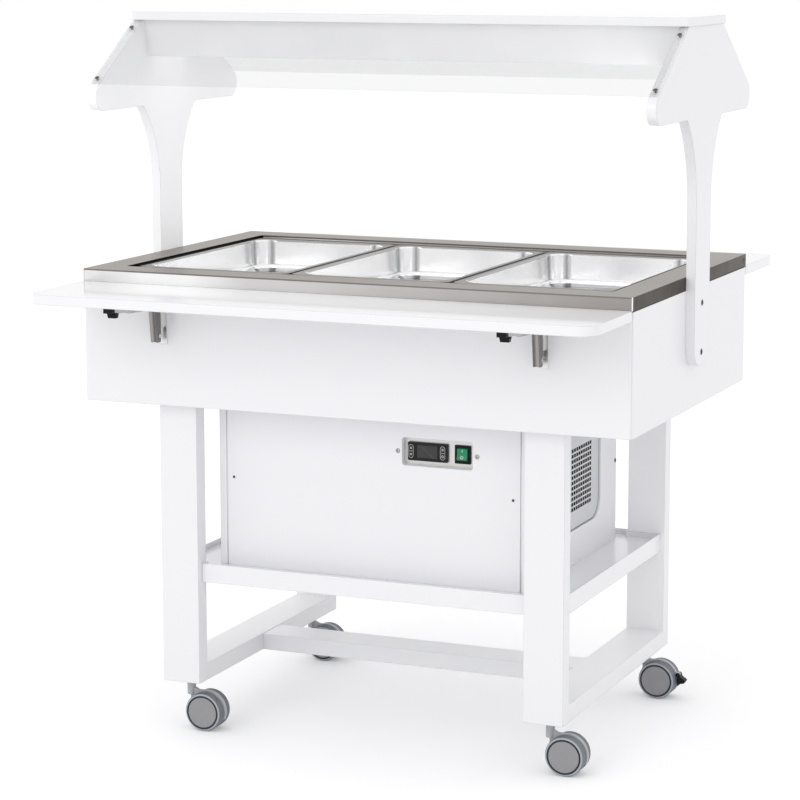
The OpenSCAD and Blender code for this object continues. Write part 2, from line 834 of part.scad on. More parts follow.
module wall_plate() {
  translate([-plate_w/2, wall_face, plate_z0]) cube([plate_w, plate_t, plate_z1 - plate_z0]);
  for (x = [-ears_w/2, ears_w/2 - gauge]) along_x(x, gauge) ear_2d();
  s = strut_w/2 + side_air;
  pin_x(-s, s, strut_pin_r, sy, sz);
  for (x = [-s - 0.7, s]) pin_x(x, x + 0.7, 4.4, sy, sz);
}

module wall_plates() {
  color("lightgray") for (t = [0, 180], i = [-1, 1])
    rotate([0, 0, t]) translate([i*bracket_x, 0, 0]) wall_plate();
}

// Side wall of an arm, deeper toward the hinge
module arm_2d() {
  union() {
    translate([ay, az]) circle(11);
    polygon([[ay, az - 11], [slot_far - 4, az - 4.2], [arm_y0 + 19, arm_tip_low],
      [arm_y0, arm_tip_low], [arm_y0, tray_z0], [ay, tray_z0], [ay + 4, tray_z0], [ay + 8, az]]);
  }
}

module arm() {
  i = arm_w/2 - gauge;
  difference() {
    along_x(-arm_w/2, arm_w) intersection() {
      arm_2d();
      translate([arm_y0, az - 20]) square([arm_l + 20, tray_z0 - az + 20]);
    }
    along_x(-i, 2*i) translate([arm_y0 - e, az - 30])
      square([arm_l + 40, web_low - az + 30]);
    translate([-arm_w, 0, 0]) along_x(0, 2*arm_w) {
      translate([slot_far, az - slide_pin_r - slot_fit])
        square([py - slot_far, 2*(slide_pin_r + slot_fit)]);
      for (y = [py, slot_far]) translate([y, az]) circle(slide_pin_r + slot_fit);
    }
  }
  pin_x(-arm_w/2 - 1, arm_w/2 + 1, hinge_pin_r, ay, az);
  pin_x(-i - e, i + e, lever_pin_r, lever_y, lever_z);
}

module arms() {
  color("darkgray") for (i = [-1, 1]) translate([i*bracket_x, 0, 0]) arm();
}
module arms_front() { arms(); }
module arms_rear() { to_rear() arms(); }

module cap() {
  z0 = arm_tip_low;
  h = tray_z0 - z0;
  i = arm_w/2 - gauge;
  translate([0, cap_y0, z0]) linear_extrude(height = h) {
    translate([-arm_w/2, 3]) square([arm_w, cap_l - 3]);
    translate([-arm_w/2 + 3, 0]) square([arm_w - 6, 3 + e]);
    for (k = [-1, 1]) translate([k*(arm_w/2 - 3), 3]) circle(3);
  }
  translate([-i + 0.1, arm_y0 - e, z0 + 0.5]) cube([2*i - 0.2, 4 + e, h - gauge - 0.6]);
}

module caps() { color("black") for (i = [-1, 1]) translate([i*bracket_x, 0, 0]) cap(); }
module caps_front() { caps(); }
module caps_rear() { to_rear() caps(); }

// Strut: a channel from the wall plate's lower pin to the sliding pin in the arm
module strut_2d() {
  polygon([[sy - 10, sz - 12], [sy + 3, sz - 12], [sy + 5.5, sz], [py + 7, pz],
    [py - 7, pz + 3], [py - 15.5, pz - 4], [sy - 13, sz - 9]]);
  translate([sy, sz]) circle(5.5);
  translate([py, pz]) circle(7);
}

module strut() {
  w = strut_w/2;
  lean = (py - 15.5 - sy + 13)/(pz - 4 - sz + 9);
  difference() {
    along_x(-w, strut_w) strut_2d();
    along_x(-w + gauge, strut_w - 2*gauge) polygon([
      [sy - 13 + gauge - 11*lean, sz - 20], [sy + 40, sz - 20], [sy + 40, pz + 20],
      [sy - 13 + gauge + (pz + 29 - sz)*lean, pz + 20]]);
    pin_x(-w - e, w + e, strut_pin_r + pin_fit, sy, sz);
  }
  pin_x(-arm_w/2 - 0.5, arm_w/2 + 0.5, slide_pin_r, py, pz);
}

module struts() { color("gray") for (i = [-1, 1]) translate([i*bracket_x, 0, 0]) strut(); }
module struts_front() { struts(); }
module struts_rear() { to_rear() struts(); }

// Release lever: a tapered paddle under the arm's end
module lever(i) {
  n = arm_w/2 - gauge - 0.6;
  w = lever_w/2;
  translate([i*bracket_x, 0, 0]) difference() {
    union() {
      along_y(lever_y - 5, 10) polygon([[-w, lever_top], [w, lever_top],
        [w - 2.3, lever_top - lever_h], [-w + 2.3, lever_top - lever_h]]);
      translate([-n, lever_y - 3, lever_top - 1]) cube([2*n, 6, lever_z - lever_top + 1]);
      pin_x(-n, n, 3, lever_y, lever_z);
    }
    pin_x(-n - e, n + e, lever_pin_r + pin_fit, lever_y, lever_z);
  }
}

module lever_front_left() { color("black") lever(-1); }
module lever_front_right() { color("black") lever(1); }
module lever_rear_left() { color("black") to_rear() lever(1); }
module lever_rear_right() { color("black") to_rear() lever(-1); }

// ---- Frame ----
module legs() {
  color("white") for (i = [0, 1], j = [0, 1]) mirror([i, 0, 0]) mirror([0, j, 0])
    translate([leg_ix, leg_iy, caster_h]) cube([leg_w, leg_t, leg_h]);
}

module rails() {
  color("white") for (i = [0, 1]) mirror([i, 0, 0]) difference() {
    translate([leg_ix, -leg_iy, caster_h]) cube([leg_w, 2*leg_iy, rail_h]);
    for (j = [-1, 1]) translate([st_x, j*st_y, caster_h - e])
      cylinder(h = king_l + 1 + e, r = king_r + pin_fit);
  }
}

module stretcher() {
  color("white") translate([-leg_ix, -stretcher_w/2, caster_h])
    cube([2*leg_ix, stretcher_w, stretcher_h]);
}

module mid_2d(d) {
  x = leg_x - mid_in[0] - d;
  y = leg_y - mid_in[1] - d;
  ix = leg_ix - mid_gap - d;
  iy = leg_iy - mid_gap - d;
  square([2*x, 2*iy], center = true);
  square([2*ix, 2*y], center = true);
}

module mid_shelf() {
  color("white") {
    translate([0, 0, mid_z - skirt_h]) linear_extrude(height = skirt_h + lip_h)
      difference() {
        mid_2d(0);
        mid_2d(mid_t);
      }
    translate([0, 0, mid_z - mid_t]) linear_extrude(height = mid_t) mid_2d(mid_t/2);
  }
}

// ---- Machine housing ----
module at_cut() { translate([cut_x, cut_z]) children(); }

module housing_front() {
  color("white") difference() {
    along_y(-hy, face_t) difference() {
      translate([-face_x, mid_z]) square([2*face_x, well_z0 - mid_z]);
      at_cut() rrect(cut[0], cut[1], cut_r);
    }
    for (x = [cp_x0 + cp_screw, cp_x1 - cp_screw]) translate([x, -hy - e, cut_z])
      rotate([-90, 0, 0]) cylinder(h = face_t + 2*e, r = screw_r + head_clear);
    for (i = [-1, 1]) translate([i*(face_x - cleat/2 - 4), -hy - e, mid_z + house_screw])
      rotate([-90, 0, 0]) cylinder(h = face_t + 2*e, r = screw_r + head_clear);
  }
}

module housing_rear() {
  color("white") difference() {
    translate([-face_x, hy - face_t, mid_z]) cube([2*face_x, face_t, well_z0 - mid_z]);
    for (i = [-1, 1]) {
      translate([i*(face_x - cleat/2 - 4), hy + e, mid_z + house_screw])
        rotate([90, 0, 0]) cylinder(h = face_t + 2*e, r = screw_r + head_clear);
      translate([i*(face_x + e), hy - face_t/2, mid_z + side_screw])
        rotate([0, -i*90, 0]) cylinder(h = screw_bite + 1 + e, r = screw_r + head_clear);
    }
  }
}

module housing_end() {
  h = well_z0 - mid_z;
  sx = hx - end_t;
  difference() {
    union() {
      translate([sx, -hy, mid_z]) cube([end_t, house_d, h]);
      for (j = [0, 1]) mirror([0, j, 0])
        translate([sx - cleat - face_gap - 4, hy - face_t - cleat, mid_z])
          cube([cleat + face_gap + 4 + e, cleat, h]);
    }
    along_x(hx - vent_deep - grille_t, vent_deep + grille_t + e)
      translate([0, vent_cz]) rrect(vent[0], vent[1], vent_r);
    along_x(sx - e, end_t) translate([0, vent_cz])
      rrect(vent[0] - 2*vent_rebate, vent[1] - 2*vent_rebate, vent_r - vent_rebate);
    for (j = [-1, 1]) translate([face_x - cleat/2 - 4, j*(hy + e), mid_z + house_screw])
      rotate([j*90, 0, 0]) cylinder(h = face_t + screw_bite + 1 + e, r = screw_r + head_clear);
    pin_x(sx - e, hx + e, screw_r + head_clear, hy - face_t/2, mid_z + side_screw);
  }
}

module housing_ends() { color("white") for (i = [0, 1]) mirror([i, 0, 0]) housing_end(); }

module grille() {
  nx = grille_n[0];
  nz = grille_n[1];
  g = 0.3;
  along_x(hx - vent_deep - grille_t, grille_t) translate([0, vent_cz]) difference() {
    rrect(vent[0] - 2*g, vent[1] - 2*g, vent_r - g);
    for (a = [0:nx - 1], b = [0:nz - 1])
      translate([(a - (nx - 1)/2)*grille_pitch[0], (b - (nz - 1)/2)*grille_pitch[1]])
        square(grille_hole, center = true);
  }
}

module grilles() { color("lightgray") for (i = [0, 1]) mirror([i, 0, 0]) grille(); }

module control_plate() {
  color("lightgray") along_y(face_back, cp_t) difference() {
    translate([cp_x0, cut_z - cp_h/2]) square([cp_x1 - cp_x0, cp_h]);
    translate([ctrl_x, cut_z]) square([ctrl_body[0] + 2*box_fit, ctrl_body[1] + 2*box_fit],
      center = true);
    translate([sw_x, cut_z]) square([sw_body[0] + 2*box_fit, sw_body[1] + 2*box_fit],
      center = true);
    for (x = [cp_x0 + cp_screw, cp_x1 - cp_screw])
      translate([x, cut_z]) circle(screw_r + head_clear);
  }
}

module at_pad(k) {
  translate([ctrl_x - ctrl[0]/2 + pad_in[k], cut_z]) children();
}

module controller() {
  color([0.08, 0.08, 0.09]) {
    difference() {
      along_y(face_back - ctrl[2], ctrl[2]) translate([ctrl_x, cut_z])
        rrect(ctrl[0], ctrl[1], 3);
      for (k = [0, 1]) along_y(face_back - ctrl[2] - e, pad_deep + e) at_pad(k)
        rrect(pad[0] + 2*pad_fit, pad[1] + 2*pad_fit, pad[0]/2 + pad_fit - 0.2);
      along_y(face_back - ctrl[2] - e, 0.6 + e) translate([ctrl_x - 2, cut_z])
        rrect(ctrl[0] - 2*pad[0] - 16, ctrl[1] - 9, 2);
    }
    along_y(face_back - e, ctrl_body[2] + e) translate([ctrl_x, cut_z])
      square([ctrl_body[0], ctrl_body[1]], center = true);
  }
}

module key_pad(k) {
  color([0.12, 0.12, 0.13]) along_y(face_back - ctrl[2] - pad_proud, pad_deep + pad_proud - 1)
    at_pad(k) rrect(pad[0], pad[1], pad[0]/2 - 0.2);
}
module key_pad_left() { key_pad(0); }
module key_pad_right() { key_pad(1); }

module switch_body() {
  o = [rocker_size[0] + 0.8, rocker_size[1] + 0.8];
  color([0.06, 0.06, 0.06]) difference() {
    union() {
      along_y(face_back - sw[2], sw[2]) translate([sw_x, cut_z]) rrect(sw[0], sw[1], 1.5);
      along_y(face_back - e, sw_body[2] + e) translate([sw_x, cut_z])
        square([sw_body[0], sw_body[1]], center = true);
    }
    along_y(face_back - sw[2] - e, sw[2] + 14 + e) translate([sw_x, cut_z])
      square(o, center = true);
    pin_x(sw_x - o[0]/2 - 1.3, sw_x + o[0]/2 + 1.3, key_pin + pin_fit, key_y, cut_z);
  }
}

// Rocker key with a shallow V face, tipped to one side
module rocker() {
  w = rocker_size[0];
  r = rocker_size[1]/2;
  color("seagreen") {
    intersection() {
      along_x(sw_x - w/2, w) translate([key_y, cut_z]) circle(r);
      along_x(sw_x - w/2, w) translate([key_y, cut_z]) rotate(-9)
        polygon([[4, -r], [4, r], [-8.2, r], [-6, 0], [-8.2, -r]]);
    }
    pin_x(sw_x - w/2 - 1.3, sw_x + w/2 + 1.3, key_pin, key_y, cut_z);
  }
}

// ---- Cooling set ----
module cooling_set() {
  z = mid_z;
  bx0 = base_in - hx + end_t;
  bx1 = cond_x + cond[0];
  fz0 = z + base_t;
  color("dimgray") {
    translate([bx0, -base_d/2, z]) cube([bx1 - bx0, base_d, base_t]);
    translate([-comp_x, 0, fz0 - e]) cylinder(h = comp_foot[1], r = comp_r + comp_foot[0]);
    translate([-comp_x, 0, fz0]) cylinder(h = comp_h, r = comp_r);
    translate([-comp_x, 0, fz0 + comp_h]) intersection() {
      translate([0, 0, -comp_r*0.9]) sphere(r = comp_r*1.345);
      translate([0, 0, -e]) cylinder(h = comp_r, r = comp_r);
    }
    difference() {
      translate([cond_x, -cond[1]/2, fz0 - e]) cube([cond[0], cond[1], cond[2] + e]);
      for (i = [0:fin_n - 1])
        translate([cond_x - e, -cond[1]/2 + 6 + i*(cond[1] - 12)/fin_n, fz0 + 6])
          cube([cond[0] + 2*e, (cond[1] - 12)/fin_n - 2, cond[2] - 12]);
    }
    difference() {
      pin_x(motor_x, cond_x + e, fan_r + 8, 0, fan_z);
      pin_x(motor_x - 1, cond_x + e + 1, fan_r + 5, 0, fan_z);
    }
    translate([motor_x - motor[1], -20, fz0 - e]) cube([motor[1]/2 - 1, 40, fan_z - fz0 + 20]);
    difference() {
      pin_x(motor_x - motor[1], motor_x, motor[0], 0, fan_z);
      pin_x(motor_x - motor[0], motor_x + 1, fan_shaft_r + pin_fit, 0, fan_z);
    }
  }
}

module fan() {
  x1 = cond_x - 6;
  x0 = x1 - blade_deep;
  color("black") {
    pin_x(x0, x1, 24, 0, fan_z);
    pin_x(motor_x - motor[0] + 2, x0 + e, fan_shaft_r, 0, fan_z);
    for (k = [0:fan_n - 1]) translate([(x0 + x1)/2, 0, fan_z]) rotate([k*360/fan_n, 0, 0])
      translate([0, 0, 20]) rotate([0, 0, 32])
        translate([-1, -19, 0]) cube([2, 38, fan_r - 25]);
  }
}

// ---- Casters, drawn round the middle of their own stem; the wheel trails to +X ----
module caster(brake) {
  c = [trail, wheel_r];
  top = caster_h - king_air;
  difference() {
    union() {
      along_y(-hood_w/2, hood_w) {
        difference() {
          union() {
            translate(c) intersection() {
              circle(hood_r);
              polygon([[-7, -9], [-hood_r - 2, 14], [-hood_r - 2, 60], [60, 60], [60, -20],
                [8, -9]]);
            }
            polygon([[0, c[1] + 20], [0, top - 18], [stem_rad, top - 20],
              [stem_rad + 8, top - 24], [c[0] - 6, c[1] + hood_r - 1.2],
              [c[0], c[1] + hood_r - 6]]);
          }
          if (brake) translate(c) translate([22, -60]) square([40, 60 + 6.5]);
        }
        translate(c) circle(axle_r + 5);
        if (brake) translate(c) {
          translate(pedal_at) circle(pedal_lug);
          translate([pedal_at[0] - 8, pedal_at[1] - pedal_lug]) square([8, 2*pedal_lug]);
        }
      }
      translate([0, 0, stem_low]) cylinder(h = top - collar_h - stem_low, r = stem_rad);
      translate([0, 0, top - collar_h - e]) cylinder(h = collar_h + e, r = stem_rad - 0.6);
      translate([0, 0, top - e]) cylinder(h = king_l + e, r = king_r);
    }
    translate([c[0], hood_w, c[1]]) rotate([90, 0, 0])
      cylinder(h = 2*hood_w, r = axle_r + pin_fit);
    if (brake) translate([c[0] + pedal_at[0], hood_w, c[1] + pedal_at[1]]) rotate([90, 0, 0])
      cylinder(h = 2*hood_w, r = pedal_pin + pin_fit);
  }
}

module wheel_2d() {
  t = caster_w/2 - wheel_in;
  difference() {
    union() {
      square([wheel_r - 5, t]);
      translate([0, 2]) square([wheel_r, t - 7]);
      translate([wheel_r - 5, t - 5]) circle(5);
      translate([wheel_r - 2, 2]) circle(2);
      translate([wheel_r - 6, 0]) square([4, 4]);
    }
    translate([-50, -50]) square([50, 100]);
    translate([groove[0] - groove[1]/2, t - 1]) square([groove[1], 2]);
  }
}

module wheels() {
  for (j = [0, 1]) mirror([0, j, 0]) translate([trail, wheel_in, wheel_r])
    rotate([-90, 0, 0]) rotate_extrude() wheel_2d();
  translate([trail, wheel_in + e, wheel_r]) rotate([90, 0, 0])
    cylinder(h = 2*(wheel_in + e), r = axle_r);
}

// Brake pedal: a fork on the lug at the hood's trailing edge, with a shoe over the tyres
module brake() {
  c = [trail, wheel_r];
  x = pedal_at[0];
  z = pedal_at[1];
  difference() {
    along_y(-pedal_w/2, pedal_w) translate(c) {
      translate(pedal_at) circle(pedal_lug);
      polygon([[x - 0.7, z], [x, z + pedal_lug], [x + 4, z + 2.5], [x + 6, z - 4],
        [x + 16, z - 11], [x + 13, z - 16.5], [x + 5, z - 18], [x + 0.5, z - 23],
        [x - 0.7, z - 20]]);
    }
    along_y(-hood_w/2 - pad_fit, hood_w + 2*pad_fit) translate(c) {
      translate(pedal_at) circle(pedal_lug + 0.8);
      translate([x - 8, z - 6]) square([8, 12]);
    }
  }
  translate([c[0] + x, pedal_w/2, c[1] + z]) rotate([90, 0, 0])
    cylinder(h = pedal_w, r = pedal_pin);
}

module at_caster(i, j) { translate([i*st_x, j*st_y, 0]) children(); }

module caster_front_left() { color("silver") at_caster(-1, -1) caster(false); }
module caster_front_right() { color("silver") at_caster(1, -1) caster(false); }
module caster_rear_left() { color("silver") at_caster(-1, 1) caster(true); }
module caster_rear_right() { color("silver") at_caster(1, 1) caster(true); }
module wheels_front_left() { color("slategray") at_caster(-1, -1) wheels(); }
module wheels_front_right() { color("slategray") at_caster(1, -1) wheels(); }
module wheels_rear_left() { color("slategray") at_caster(-1, 1) wheels(); }
module wheels_rear_right() { color("slategray") at_caster(1, 1) wheels(); }
module brake_left() { color("black") at_caster(-1, 1) brake(); }
module brake_right() { color("black") at_caster(1, 1) brake(); }

upright_left();
upright_right();
top_shelf();
lamp_cover();
diffuser();
lamp();
screen_front();
screen_rear();
screws();
front_panel();
rear_panel();
left_panel();
right_panel();
floor_panel();
insulation();
tank();
rim();
divider_bars();
pan_left();
pan_mid();
pan_right();
tray_front();
tray_rear();
wall_plates();
arms_front();
arms_rear();
caps_front();
caps_rear();
struts_front();
struts_rear();
lever_front_left();
lever_front_right();
lever_rear_left();
lever_rear_right();
legs();
rails();
stretcher();
mid_shelf();
housing_front();
housing_rear();
housing_ends();
grilles();
control_plate();
controller();
key_pad_left();
key_pad_right();
switch_body();
rocker();
cooling_set();
fan();
caster_front_left();
caster_front_right();
caster_rear_left();
caster_rear_right();
wheels_front_left();
wheels_front_right();
wheels_rear_left();
wheels_rear_right();
brake_left();
brake_right();
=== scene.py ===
import math
import bmesh
import bpy
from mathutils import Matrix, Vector


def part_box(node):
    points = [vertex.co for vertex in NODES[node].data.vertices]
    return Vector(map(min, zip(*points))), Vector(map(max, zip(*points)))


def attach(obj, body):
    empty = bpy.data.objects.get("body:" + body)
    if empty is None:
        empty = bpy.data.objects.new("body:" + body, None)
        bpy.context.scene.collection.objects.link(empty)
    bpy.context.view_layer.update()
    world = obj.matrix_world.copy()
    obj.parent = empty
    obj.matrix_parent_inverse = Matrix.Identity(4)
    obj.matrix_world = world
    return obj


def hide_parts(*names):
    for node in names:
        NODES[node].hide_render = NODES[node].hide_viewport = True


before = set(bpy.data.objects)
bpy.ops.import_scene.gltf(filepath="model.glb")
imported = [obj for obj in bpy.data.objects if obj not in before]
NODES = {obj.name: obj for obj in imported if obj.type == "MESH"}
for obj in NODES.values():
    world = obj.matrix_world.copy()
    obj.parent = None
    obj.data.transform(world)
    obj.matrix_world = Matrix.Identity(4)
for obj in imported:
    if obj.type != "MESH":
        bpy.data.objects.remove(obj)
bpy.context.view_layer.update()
MM = 0.001

# ---- Camera: the photograph's viewing angle ----
cam = bpy.data.objects.new("camera", bpy.data.cameras.new("camera"))
bpy.context.scene.collection.objects.link(cam)
cam.data.sensor_width = 36
cam.data.lens = 119.5
cam.data.shift_x = -0.0262
cam.data.shift_y = -0.05
cam.data.clip_start, cam.data.clip_end = 0.1, 60
cam.location = (1.975, -4.735, 1.513)
cam.rotation_euler = (math.radians(90 - 8.93), 0, math.radians(22.67))
bpy.context.scene.camera = cam

# ---- Places shared by finishes and small pieces, in metres ----
BRACKET_X = 0.381                        # middle of each tray bracket, left and right
HINGE_PIN_Y, HINGE_PIN_Z = 0.374, 0.847
PIVOT_Y, PIVOT_Z = 0.379, 0.785          # the strut's pivot on the wall plate
DIVIDER_X = 0.1635                       # middle of each divider bar
PAN_JOINT = 0.0042                       # half the dark joint between two pans
CONTROL_Z = 575 * MM                     # middle height of all the controls
DISPLAY_X = 110.7 * MM                   # middle of the display


# ---- Material maths: sockets wrapped so that they read as expressions ----
class Sock:
    def __init__(self, mat, out):
        self.mat, self.out = mat, out

    def _op(self, op, *vals):
        return self.mat.node("ShaderNodeMath", {"operation": op}, *vals)

    def __add__(self, v): return self._op("ADD", self, v)
    def __radd__(self, v): return self._op("ADD", v, self)
    def __sub__(self, v): return self._op("SUBTRACT", self, v)
    def __rsub__(self, v): return self._op("SUBTRACT", v, self)
    def __mul__(self, v): return self._op("MULTIPLY", self, v)
    def __rmul__(self, v): return self._op("MULTIPLY", v, self)
    def __truediv__(self, v): return self._op("DIVIDE", self, v)
    def __pow__(self, v): return self._op("POWER", self, v)
    def abs(self): return self._op("ABSOLUTE", self)
    def max(self, v): return self._op("MAXIMUM", self, v)
    def min(self, v): return self._op("MINIMUM", self, v)
    def less(self, v): return self._op("LESS_THAN", self, v)
    def more(self, v): return self._op("GREATER_THAN", self, v)
    def clamp(self): return self.max(0.0).min(1.0)

    # masks: inside a span, round a place, rising over a length, peaking at a place
    def between(self, lo, hi): return self.more(lo) * self.less(hi)
    def near(self, at, half): return (self - at).abs().less(half)
    def ramp(self, start, length): return ((self - start) / length).clamp()
    def peak(self, at, half): return (1.0 - (self - at).abs() / half).max(0.0)


def distance(a, b):
    return (a ** 2.0 + b ** 2.0) ** 0.5


class Mat:
    # how noise is stretched into brush marks along each axis
    BRUSH = {"X": (1.2, 240, 240), "Y": (240, 1.2, 240), "Z": (240, 240, 1.2),
             "down a short side": (240, 36, 1.2)}

    def __init__(self, name, **consts):
        self.m = bpy.data.materials.new(name)
        self.m.use_nodes = True
        self.t = self.m.node_tree
        self.shader = self.t.nodes["Principled BSDF"]
        for k, v in consts.items():
            self.set(k.replace("_", " "), v)

    def _put(self, socket, v):
        if isinstance(v, Sock):
            self.t.links.new(v.out, socket)
        elif isinstance(v, (tuple, list)) and socket.type == "RGBA":
            socket.default_value = tuple(v) + (1.0,) * (4 - len(v))
        else:
            socket.default_value = v

    def set(self, name, v):
        self._put(self.shader.inputs[name], v)

    def node(self, kind, settings=None, *vals, out=0, **named):
        n = self.t.nodes.new(kind)
        for k, v in (settings or {}).items():
            setattr(n, k, v)
        for i, v in enumerate(vals):
            self._put(n.inputs[i], v)
        for k, v in named.items():
            self._put(n.inputs[k.replace("_", " ")], v)
        return Sock(self, n.outputs[out])

    def _split(self, vector):
        s = self.t.nodes.new("ShaderNodeSeparateXYZ")
        self.t.links.new(vector.out, s.inputs[0])
        return [Sock(self, o) for o in s.outputs]

    def axes(self):
        return self._split(self.node("ShaderNodeTexCoord", out="Object"))

    def facing(self):
        return self._split(self.node("ShaderNodeNewGeometry", out="Normal"))

    def noise(self, scale, detail=3.0, rough=0.5, stretch=(1, 1, 1)):
        place = self.node("ShaderNodeTexCoord", out="Object")
        place = self.node("ShaderNodeMapping", None, place, Scale=stretch)
        return self.node("ShaderNodeTexNoise", None, out="Fac", Vector=place,
                         Scale=scale, Detail=detail, Roughness=rough)

    def brush(self, along):
        return self.noise(3.0, 4.0, 0.6, self.BRUSH[along])

    def mix(self, f, a, b):
        n = self.t.nodes.new("ShaderNodeMix")
        n.data_type = "RGBA"
        self._put(n.inputs["Factor"], f)
        self._put(n.inputs[6], a)
        self._put(n.inputs[7], b)
        return Sock(self, n.outputs[2])

    def bump(self, height, strength, dist, edge):
        rounded = self.node("ShaderNodeBevel", {"samples": 4}, Radius=edge)
        self.set("Normal", self.node("ShaderNodeBump", None, Height=height, Strength=strength,
                                     Distance=dist, Normal=rounded))


# ---- Boards and plain plastics ----
BOARD_TONES = (0.845, 0.845, 0.862), (0.868, 0.868, 0.882)
# painted light: a lighter colour for board faces that lie in shade
BOARD_PAINTED_LIGHT = (0.97, 0.97, 0.98)


# White board. Some boards have painted light, lighter faces where they lie in shade: on those
# that lie under the box, or on all but the outer side
def board(name="white_board", bright=None):
    m = Mat(name, IOR=1.5, Coat_Weight=0.15, Coat_Roughness=0.12)
    cloud = m.noise(2.2, 2.0)
    peel = m.noise(420, 2.0)
    colour = m.mix(cloud, *BOARD_TONES)
    if bright:
        x, y, z = m.axes()
        nx, ny, nz = m.facing()
        if bright == "under the box":
            faces = (nz.more(0.6) + ny.less(-0.6) * y.more(0.2)).clamp()
        else:
            faces = nx.more(-0.6)
        colour = m.mix(faces, colour, BOARD_PAINTED_LIGHT)
    m.set("Base Color", colour)
    m.set("Roughness", 0.27 + 0.08 * cloud)
    m.bump(peel, 0.05, 0.4 * MM, 2.2 * MM)
    return m


def gloss_board():
    m = Mat("gloss_board", IOR=1.5, Coat_Weight=0.35, Coat_Roughness=0.08)
    cloud = m.noise(1.6, 2.0)
    m.set("Base Color", m.mix(cloud, *BOARD_TONES))
    m.set("Roughness", 0.12 + 0.05 * cloud)
    m.bump(m.noise(380, 2.0), 0.03, 0.4 * MM, 2 * MM)
    return m


def plastic(name, colour, rough, edge=0.6 * MM, grain=900, depth=0.08, **consts):
    m = Mat(name, IOR=1.5, **consts)
    cloud = m.noise(14, 2.0)
    dark = tuple(c * 0.88 for c in colour)
    m.set("Base Color", m.mix(cloud, dark, colour))
    m.set("Roughness", rough + 0.10 * (cloud - 0.5))
    m.bump(m.noise(grain, 2.0), depth, 0.2 * MM, edge)
    return m


def rocker_green():
    m = Mat("rocker_green", IOR=1.5, Roughness=0.3, Specular_IOR_Level=0.3)
    cloud = m.noise(160, 2.0)
    m.set("Base Color", m.mix(cloud, (0.006, 0.19, 0.075), (0.016, 0.31, 0.13)))
    m.bump(cloud, 0.05, 0.2 * MM, 0.5 * MM)
    return m


# Clear sheet: faintly hazy, and denser where it is seen on its end
def clear():
    m = Mat("clear_screen", IOR=1.47)
    haze = m.noise(3.0, 3.0)
    nx, ny, nz = m.facing()
    end = nx.abs().more(0.6)
    sheet = m.mix(haze, (0.37, 0.38, 0.38), (0.43, 0.44, 0.44))
    m.set("Base Color", m.mix(end, sheet, (0.86, 0.88, 0.88)))
    m.set("Roughness", 0.03 + 0.03 * haze)
    m.set("Alpha", 0.10 + 0.03 * haze + 0.25 * end)
    return m


# Display pane: near black, with a painted slanting sheen
def pane():
    m = Mat("display_pane", IOR=1.5)
    x, y, z = m.axes()
    haze = m.noise(60, 2.0)
    painted_sheen = ((x - DISPLAY_X) * 0.8 + (z - CONTROL_Z)).abs().less(3.5 * MM)
    dark = m.mix(painted_sheen, (0.012, 0.012, 0.013), (0.03, 0.031, 0.03))
    m.set("Base Color", m.mix(haze, dark, (0.026, 0.027, 0.026)))
    m.set("Roughness", 0.10 + 0.08 * haze)
    return m


# ---- Steels ----
def brushed(name, colour, rough, along, edge=0.8 * MM, marks=1.0):
    m = Mat(name, Metallic=1.0)
    grain = m.brush(along)
    cloud = m.noise(5.0, 3.0)
    low = tuple(c * 0.90 for c in colour)
    m.set("Base Color", m.mix((0.65 * grain + 0.35 * cloud).clamp(), low, colour))
    m.set("Roughness", rough + 0.14 * marks * (grain - 0.5) + 0.06 * cloud)
    m.bump(grain, 0.10 * marks, 0.3 * MM, edge)
    return m
